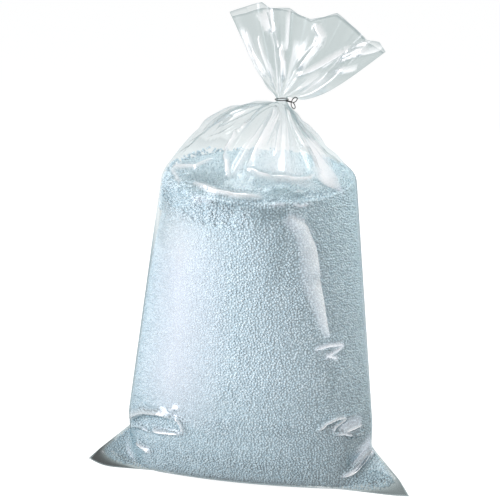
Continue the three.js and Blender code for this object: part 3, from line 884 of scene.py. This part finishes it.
def film_finish():
    """Clear film: tinted, with painted shade, milky with painted highlight on its folds, and glossy."""
    material, new = new_finish("clear_film")
    place = new.node("ShaderNodeTexCoord", None, None, "Object")
    milky_and_highlight = new.node("ShaderNodeAttribute", {"attribute_name": "milky_and_highlight"}, None, "Fac")
    shaded = new.node("ShaderNodeAttribute", {"attribute_name": "shaded"}, None, "Fac")
    pinched_and_shaded = new.node("ShaderNodeAttribute", {"attribute_name": "pinched_and_shaded"}, None, "Fac")
    touching = new.node("ShaderNodeAttribute", {"attribute_name": "touching"}, None, "Fac")
    loose_shade = new.node("ShaderNodeAttribute", {"attribute_name": "loose_shade"}, None, "Fac")
    crinkle_inputs = {"Vector": place, "Scale": CRINKLE_SCALE, "Detail": CRINKLE_DETAIL}
    crinkle = new.node("ShaderNodeTexNoise", None, crinkle_inputs)
    prints = new.node("ShaderNodeTexVoronoi", None, {"Vector": place, "Scale": PRINT_SCALE})
    height = crinkle * (1 - PRESSED_FLAT * touching) - PRINT_SHARE * touching * prints
    bump_inputs = {"Strength": BUMP_STRENGTH, "Distance": BUMP_HEIGHT, "Height": height}
    bump = new.node("ShaderNodeBump", None, bump_inputs)
    slant = new.node("ShaderNodeLayerWeight", None, {"Normal": bump}, "Facing")

    def clear(tint):
        return new.node("ShaderNodeBsdfTransparent", None, {"Color": tint})

    def gloss(tint, roughness):
        inputs = {"Color": tint, "Roughness": roughness, "Normal": bump}
        return new.node("ShaderNodeBsdfAnisotropic", None, inputs)

    def mix(share, first, second):
        return new.node("ShaderNodeMixShader", None, {0: share, 1: first, 2: second})

    tinted = mix(loose_shade, clear(CLEAR_TINT), clear(LOOSE_SHADE_TINT))
    deepened = mix(slant**TINT_POWER * (FREE_SLANT + (1 - FREE_SLANT) * touching), tinted, clear(SLANT_SHADE_TINT))
    # Painted shade where the film is shaded or pinched.
    shade_painted = mix(shaded, deepened, clear(SHADED_TINT))
    through = mix(pinched_and_shaded, shade_painted, clear(PINCHED_SHADE_TINT))
    # Painted highlight, and a painted cool sheen where the film touches beads.
    milk_and_highlight = mix(touching, gloss(MILK_AND_HIGHLIGHT, MILK_ROUGHNESS), gloss(COOL_SHEEN, MILK_ROUGHNESS))
    hazy = mix(HAZE + MILK_AND_HIGHLIGHT_SHARE * milky_and_highlight, through, milk_and_highlight)
    shine = mix(touching, gloss(GLOSS, FREE_ROUGHNESS), gloss(GLOSS, TOUCHING_ROUGHNESS))
    surface = mix(HEAD_ON_GLOSS + SLANT_GLOSS * slant**GLOSS_POWER, hazy, shine)
    new.node("ShaderNodeOutputMaterial", None, {"Surface": surface})
    return material


film_mesh.materials.clear()
film_mesh.materials.append(film_finish())
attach(film, "root")
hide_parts("film_bag")
print("Film finish:", film_mesh.materials[0].name)

# %% [markdown]
# A tube is cut to a length and sealed across one end, so its flat size is its width laid flat and that
# length. Measuring the finished skin gives its area and how wide its mouth is.

measured = bmesh.new()
measured.from_mesh(film_mesh)
film_area = sum(face.calc_area() for face in measured.faces)
mouth_length = sum(edge.calc_length() for edge in measured.edges if edge.is_boundary)
measured.free()
print("Mouth", round(mouth_length, 3), "round")

# %% [markdown]
# Thousands of loose beads lie against the film, and each one shows. A texture could fake them, but only real
# balls catch light and shade as the picture's do. One small ball is made for each shade of white.

# %% One bead of each shade
BEAD_DIAMETER = 0.0037
BEAD_SHADES = {
    "bright": (0.86, 0.945, 0.99, 1),
    "plain": (0.79, 0.89, 0.945, 1),
    "dull": (0.68, 0.79, 0.85, 1),
}
DEPTH_SHADE = (0.54, 0.64, 0.69, 1)
BEAD_ROUGHNESS = 0.75


def bead_finish(name, colour):
    """Foam: nearly white, with next to no gloss."""
    material, new = new_finish(name)
    inputs = {"Base Color": colour, "Roughness": BEAD_ROUGHNESS}
    surface = new.node("ShaderNodeBsdfPrincipled", None, inputs)
    new.node("ShaderNodeOutputMaterial", None, {"Surface": surface})
    return material


def bead_kinds():
    """A collection with one bead of each shade, which isn't itself in the scene."""
    kinds = bpy.data.collections.new("bead_kinds")
    for shade, colour in BEAD_SHADES.items():
        ball = bmesh.new()
        bmesh.ops.create_icosphere(ball, subdivisions=1, radius=BEAD_DIAMETER / 2)
        mesh = mesh_of("bead_" + shade, ball)
        mesh.shade_smooth()
        mesh.materials.append(bead_finish("bead_" + shade, colour))
        kinds.objects.link(bpy.data.objects.new("bead_" + shade, mesh))
    return kinds


kinds = bead_kinds()

# %% [markdown]
# Geometry nodes set copies of the beads on a surface, packed so closely that they press into each other a
# little, each sunk just below it, turned at random and a little larger or smaller than the next. Every
# random number has its seed.

# %% Scattering beads
BEAD_SPACING = 0.0029
BEAD_UNEVENNESS = 0.0009
SMALLEST_BEAD = 0.82
LARGEST_BEAD = 1.12
CANDIDATES_PER_BEAD = 4.0
PLACE_SEED = 7
SINK_SEED = 1
SIZE_SEED = 2
TURN_SEED = 3
SHADE_SEED = 4


def random_value(new, kind, low, high, seed):
    """A random number, count or vector for each point."""
    sockets = {"FLOAT_VECTOR": (0, 1, 0), "FLOAT": (2, 3, 1), "INT": (4, 5, 2)}
    first, last, output = sockets[kind]
    inputs = {first: low, last: high, "Seed": seed}
    return new.node("FunctionNodeRandomValue", {"data_type": kind}, inputs, output)


def scatter_tree():
    """Geometry nodes that set beads just below a surface."""
    tree = bpy.data.node_groups.new("scatter_beads", "GeometryNodeTree")
    tree.interface.new_socket("Geometry", in_out="INPUT", socket_type="NodeSocketGeometry")
    tree.interface.new_socket("Geometry", in_out="OUTPUT", socket_type="NodeSocketGeometry")
    new = Term(tree)
    surface = new.node("NodeGroupInput")
    scattered = new.node(
        "GeometryNodeDistributePointsOnFaces",
        {"distribute_method": "POISSON"},
        {
            "Mesh": surface,
            "Distance Min": BEAD_SPACING,
            "Density Max": CANDIDATES_PER_BEAD / BEAD_SPACING**2,
            "Density Factor": new.node("GeometryNodeInputNamedAttribute", None, {"Name": "crowd"}),
            "Seed": PLACE_SEED,
        },
        "Points",
    )
    depth = BEAD_DIAMETER / 2
    sink = random_value(new, "FLOAT", -depth - BEAD_UNEVENNESS, -depth, SINK_SEED)
    size = random_value(new, "FLOAT", SMALLEST_BEAD, LARGEST_BEAD, SIZE_SEED)
    turn = random_value(new, "FLOAT_VECTOR", (0, 0, 0), (2 * math.pi,) * 3, TURN_SEED)
    shade = random_value(new, "INT", 0, len(BEAD_SHADES) - 1, SHADE_SEED)
    down_inputs = {0: scattered.other("Normal"), "Scale": sink}
    down = new.node("ShaderNodeVectorMath", {"operation": "SCALE"}, down_inputs)
    points = new.node("GeometryNodeSetPosition", None, {"Geometry": scattered, "Offset": down})
    beads = new.node(
        "GeometryNodeCollectionInfo",
        None,
        {"Collection": kinds, "Separate Children": True, "Reset Children": True},
    )
    copies = new.node(
        "GeometryNodeInstanceOnPoints",
        None,
        {
            "Points": points,
            "Instance": beads,
            "Pick Instance": True,
            "Instance Index": shade,
            "Rotation": turn,
            "Scale": size,
        },
    )
    solid = new.node("GeometryNodeRealizeInstances", None, {"Geometry": copies})
    new.node("NodeGroupOutput", None, {0: solid})
    return tree


bead_scatter = scatter_tree()
print("Scattering takes", len(bead_scatter.nodes), "nodes")

# %% [markdown]
# Where the bag is thin, as in the ears, and where the heap's rim meets the film, a bead can come out through
# the film. A search tree finds the film's nearest spot, whose normal tells inside from outside, and the
# beads that come out are taken away.

# %% Beads on a surface
BEAD_VERTICES = 12
FILM_GIVE = 0.0002
film_tree = skin_tree(film_mesh)


def is_outside(centre, radius):
    """True for a ball that comes out through the film by more than the film gives."""
    nearest, normal, _, _ = film_tree.find_nearest(centre)
    return (centre - nearest).dot(normal) > FILM_GIVE - radius


def drop_outside(mesh):
    """Takes away the beads of a mesh that come out through the film."""
    balls = points_of(mesh).reshape(-1, BEAD_VERTICES, 3)
    centres = balls.mean(axis=1)
    radii = np.linalg.norm(balls - centres[:, None], axis=2).max(axis=1)
    kept = bmesh.new()
    kept.from_mesh(mesh)
    kept.verts.ensure_lookup_table()
    dropped = []
    for number, (centre, radius) in enumerate(zip(centres, radii)):
        if is_outside(Vector(centre), radius):
            first = number * BEAD_VERTICES
            dropped += kept.verts[first : first + BEAD_VERTICES]
    bmesh.ops.delete(kept, geom=dropped, context="VERTS")
    kept.to_mesh(mesh)
    kept.free()
    return len(dropped) // BEAD_VERTICES


def scatter_beads(name, surface, crowd):
    """A piece of beads on a surface mesh, as close together as crowd says for each of its points."""
    add_attribute(surface, "crowd", crowd)
    piece = new_object(name, surface)
    piece.modifiers.new("scatter", "NODES").node_group = bead_scatter
    mesh = applied(piece)
    dropped = drop_outside(mesh)
    mesh.shade_smooth()
    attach(piece, "root")
    print(name, "has", len(mesh.vertices) // BEAD_VERTICES, "beads,", dropped, "taken away")


# %% [markdown]
# One piece with all the beads would be too large, so the heap's top is a piece, and so is each quarter of
# the sides. Low down the beads fill the film's folds and ears, so there the bed is the film's own skin.
# Nothing is set underneath, where the bag rests, or where there is no room for a bead.

# %% Beads in their places
SKIN_INSET = 0.0009
ROOM_FOR_BEAD = 1.15 * BEAD_DIAMETER
UNDERSIDE_BELOW = 0.004
UNDERSIDE_SLOPE = -0.8
HEAP_SLOPE = 0.55
HEAP_ABOVE = 0.42


def is_heap(face):
    """True for a face on the heap's top."""
    return face.normal.z > HEAP_SLOPE and face.calc_center_median().z > HEAP_ABOVE


def is_side(face):
    """True for a face on the bag's sides, above the ears."""
    return not is_heap(face) and face.calc_center_median().z > EARS_BELOW


def is_low(face):
    """True for a face of the film low on the bag with room for a bead behind it."""
    centre = face.calc_center_median()
    if centre.z > EARS_BELOW or (face.normal.z < UNDERSIDE_SLOPE and centre.z < UNDERSIDE_BELOW):
        return False
    return min(thickness[vert.index] for vert in face.verts) > ROOM_FOR_BEAD


def is_quarter(face, side_x, side_y):
    """True for a face in one quarter of the bag, seen from above."""
    centre = face.calc_center_median()
    return side_x * centre.x >= 0 and side_y * centre.y >= 0


QUARTERS = {"front_left": (-1, -1), "front_right": (1, -1), "back_left": (-1, 1), "back_right": (1, 1)}


def kept_faces(mesh, belongs, inset=0):
    """A copy of the faces of a mesh that belong, moved in by an inset."""
    faces = bmesh.new()
    faces.from_mesh(mesh)
    faces.normal_update()
    bmesh.ops.delete(faces, geom=[face for face in faces.faces if not belongs(face)], context="FACES")
    for vert in faces.verts:
        vert.co -= inset * vert.normal
    return faces


def scatter_evenly(name, faces):
    """A piece of beads that are as close together as they can be."""
    surface = mesh_of(name, faces)
    scatter_beads(name, surface, np.ones(len(surface.vertices)))


scatter_evenly("beads_heap", kept_faces(bed_mesh, is_heap))
scatter_evenly("beads_low", kept_faces(film_mesh, is_low, SKIN_INSET))
for name, signs in QUARTERS.items():
    quarter = kept_faces(bed_mesh, lambda face: is_side(face) and is_quarter(face, *signs))
    scatter_evenly("beads_" + name, quarter)

# %% [markdown]
# Foam beads cling to film by static. Above the heap they hang on the inside of the cone, fewer and fewer
# with height and in patches, and at the front right they were pushed up the film, so the heap has no rim.

# %% Beads that cling to the film
CLING_REACH = 0.020
CLING_INSET = 0.0012
CLING_ABOVE = 0.40
CLING_CROWD = 1.6
PUSHED_CROWD = 3
DRIFT_SIZE = 0.055
DRIFT_MEAN = 0.7
DRIFT_LIMITS = (0.2, 2)
CLUMP_SIZE = 0.012
CLUMP_MEAN = 0.75
PUSHED_UP = Fold([(250, 197), (270, 191), (295, 187), (325, 185), (356, 179)], (0.014, 0.012), 0, 1)


def lumps(size):
    """Soft random lumps of a size, from about -1 to 1 for each of the film's points."""
    return np.array([noise.noise(Vector(place) / size) for place in film_places])


pushed = rise_of(film_places, smooth_normals, seen_crest(PUSHED_UP))[0]
reach = CLING_REACH * np.clip(DRIFT_MEAN + lumps(DRIFT_SIZE), *DRIFT_LIMITS)
clumps = np.clip(CLUMP_MEAN + lumps(CLUMP_SIZE), 0, 1)
static = clumps * np.clip(CLING_CROWD * (1 - bead_gap / reach), 0, 1)
crowd = np.maximum(static, np.clip(PUSHED_CROWD * pushed, 0, 1))
crowd *= (bead_gap > TOUCH_GAP) & (heights > CLING_ABOVE)
cling = bmesh.new()
cling.from_mesh(film_mesh)
cling.normal_update()
for vert in cling.verts:
    vert.co -= CLING_INSET * vert.normal
bare = [vert for vert in cling.verts if crowd[vert.index] == 0]
bmesh.ops.delete(cling, geom=bare, context="VERTS")
scatter_beads("beads_clinging", mesh_of("beads_clinging", cling), crowd[crowd > 0])

# %% [markdown]
# Below the beads is the core, the bed drawn in by about a bead. It closes the gaps that would let one
# see through the bag, and it stands for the frame's solid. Its dark colour is painted shade, for the shade
# in the depth between the beads.
# In the thin ends of the ears a point that is drawn in can come out on the far side, so it is set back
# just inside the film.

# %% The core
CORE_INSET = 0.0028
CORE_CLEARANCE = 0.0006

core = bmesh.new()
core.from_mesh(bed_mesh)
core.normal_update()
set_back = 0
for vert in core.verts:
    vert.co -= CORE_INSET * vert.normal
    nearest, normal, _, _ = film_tree.find_nearest(vert.co)
    if (vert.co - nearest).dot(normal) > -CORE_CLEARANCE:
        vert.co = nearest - CORE_CLEARANCE * normal
        set_back += 1
print("Core:", len(core.verts), "points,", set_back, "of them set back inside the film")
core_piece = new_object("bead_core", mesh_of("bead_core", core))
# Painted shade for the depth between beads.
core_piece.data.materials.append(bead_finish("bead_depth_shade", DEPTH_SHADE))
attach(core_piece, "root")
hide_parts("bead_fill")

# %% [markdown]
# The tie is black annealed wire. The frame's own solid has the right shape, so it stays and only gets a
# finish: nearly black, with scale from the annealing that is duller and browner in patches.

# %% The wire's finish
WIRE_BLACK = (0.004, 0.004, 0.005, 1)
WIRE_SCALE = (0.016, 0.014, 0.012, 1)
SCALE_PATCHES = 420.0
SCALE_DETAIL = 3.0
SCALE_BUMP = 0.3
SCALE_HEIGHT = 0.0002
WIRE_METAL = 0.6
WIRE_ROUGHNESS = 0.4
SCALE_ROUGHNESS = 0.3


def wire_finish():
    """Annealed wire: black, with duller patches of scale."""
    material, new = new_finish("black_wire")
    place = new.node("ShaderNodeTexCoord", None, None, "Object")
    patch_inputs = {"Vector": place, "Scale": SCALE_PATCHES, "Detail": SCALE_DETAIL}
    patches = new.node("ShaderNodeTexNoise", None, patch_inputs)
    shades = {"Factor": patches, 6: WIRE_BLACK, 7: WIRE_SCALE}
    colour = new.node("ShaderNodeMix", {"data_type": "RGBA"}, shades, 2)
    bump_inputs = {"Strength": SCALE_BUMP, "Distance": SCALE_HEIGHT, "Height": patches}
    bump = new.node("ShaderNodeBump", None, bump_inputs)
    roughness = WIRE_ROUGHNESS + SCALE_ROUGHNESS * patches
    surface = new.node(
        "ShaderNodeBsdfPrincipled",
        None,
        {"Base Color": colour, "Metallic": WIRE_METAL, "Roughness": roughness, "Normal": bump},
    )
    new.node("ShaderNodeOutputMaterial", None, {"Surface": surface})
    return material


tie_node.data.materials.clear()
tie_node.data.materials.append(wire_finish())
print("Tie:", len(tie_node.data.polygons), "faces")

# %% [markdown]
# The picture was lit from the front left, more weakly from the right and from behind, and a little from
# above. One wide lamp could do it, but then the film would mirror it as one hard patch. So each direction
# has an area lamp of its own, and only the ones whose reflections the picture shows are seen in the film.

# %% Soft boxes
LAMP_TARGET = Vector((0, 0, 0.35))
SoftBox = collections.namedtuple("SoftBox", "azimuth elevation distance width height power colour shines")
SOFT_BOXES = {
    "left_box": SoftBox(-66, 8, 1.8, 0.9, 1.5, 12, (0.97, 0.93, 1), True),
    "front_box": SoftBox(-39, 13, 2.2, 1.4, 1.4, 45, (0.94, 0.97, 1), False),
    "right_box": SoftBox(92, 38, 0.85, 0.5, 0.6, 7, (0.95, 1, 0.99), False),
    "top_box": SoftBox(-10, 74, 1.8, 0.6, 0.6, 3, (0.98, 1, 1), True),
    "back_box": SoftBox(180, 25, 2.2, 1.4, 1.4, 22, (0.97, 0.99, 1), False),
}


def toward_lamp(azimuth, elevation):
    """The direction of a lamp, in degrees to the right of the camera and up."""
    turn = VIEW_AZIMUTH + math.radians(azimuth)
    rise = math.radians(elevation)
    return Vector((math.sin(turn) * math.cos(rise), -math.cos(turn) * math.cos(rise), math.sin(rise)))


for name, box in SOFT_BOXES.items():
    lamp_data = bpy.data.lights.new(name, "AREA")
    lamp_data.shape = "RECTANGLE"
    lamp_data.size = box.width
    lamp_data.size_y = box.height
    lamp_data.energy = box.power
    lamp_data.color = box.colour
    lamp = bpy.data.objects.new(name, lamp_data)
    lamp.visible_glossy = box.shines
    out = toward_lamp(box.azimuth, box.elevation)
    lamp.location = LAMP_TARGET + box.distance * out
    lamp.rotation_mode = "QUATERNION"
    lamp.rotation_quaternion = out.to_track_quat("Z", "Y")
    scene.collection.objects.link(lamp)
    print(name, "at", tuple(round(value, 2) for value in lamp.location))

# %% [markdown]
# The background is white and the floor is pale. Both show white to the camera, to reflections and through
# glass, and light the bag at a plain level otherwise. The floor still takes the bag's soft shadow.

# %% World and floor
AMBIENT = (0.94, 0.98, 1, 1)
AMBIENT_STRENGTH = 0.22
WHITE = (1, 1, 1, 1)
WHITE_STRENGTH = 1.0
FLOOR_PAINT = (0.3, 0.3, 0.3, 1)
FLOOR_GLOW = 0.93
FLOOR_SIZE = 30


def shows_background(new):
    """1 for rays that should see the white background, and 0 for those that light the bag."""
    rays = new.node("ShaderNodeLightPath", None, None, "Is Camera Ray")
    return rays + rays.other("Is Glossy Ray") + rays.other("Is Transmission Ray")


scene.world = bpy.data.worlds.new("studio")
scene.world.use_nodes = True
scene.world.node_tree.nodes.clear()
sky = Term(scene.world.node_tree)
ambient = sky.node("ShaderNodeBackground", None, {"Color": AMBIENT, "Strength": AMBIENT_STRENGTH})
white = sky.node("ShaderNodeBackground", None, {"Color": WHITE, "Strength": WHITE_STRENGTH})
both = sky.node("ShaderNodeMixShader", None, {0: shows_background(sky), 1: ambient, 2: white})
sky.node("ShaderNodeOutputWorld", None, {"Surface": both})


def floor_finish():
    """Pale paper that glows where it is looked at."""
    material, new = new_finish("pale_floor")
    paper = new.node("ShaderNodeBsdfDiffuse", None, {"Color": FLOOR_PAINT})
    glow = new.node("ShaderNodeEmission", None, {"Color": WHITE, "Strength": FLOOR_GLOW})
    bright = new.node("ShaderNodeAddShader", None, {0: paper, 1: glow})
    shown = new.node("ShaderNodeMixShader", None, {0: shows_background(new), 1: paper, 2: bright})
    new.node("ShaderNodeOutputMaterial", None, {"Surface": shown})
    return material


floor_grid = bmesh.new()
bmesh.ops.create_grid(floor_grid, x_segments=1, y_segments=1, size=FLOOR_SIZE)
floor = new_object("floor", mesh_of("floor", floor_grid))
floor.data.materials.append(floor_finish())
print("World", scene.world.name, "and floor, a square with sides of", 2 * FLOOR_SIZE, "m")

# %% [markdown]
# Looking through the folds, a ray can pass many layers of film, so it may go on through more of them than
# Blender allows by itself. The Standard view shows colours as they are written.

# %% View
CLEAR_LAYERS = 32

scene.cycles.transparent_max_bounces = CLEAR_LAYERS
scene.view_settings.view_transform = "Standard"
print("Rays pass up to", CLEAR_LAYERS, "clear layers")
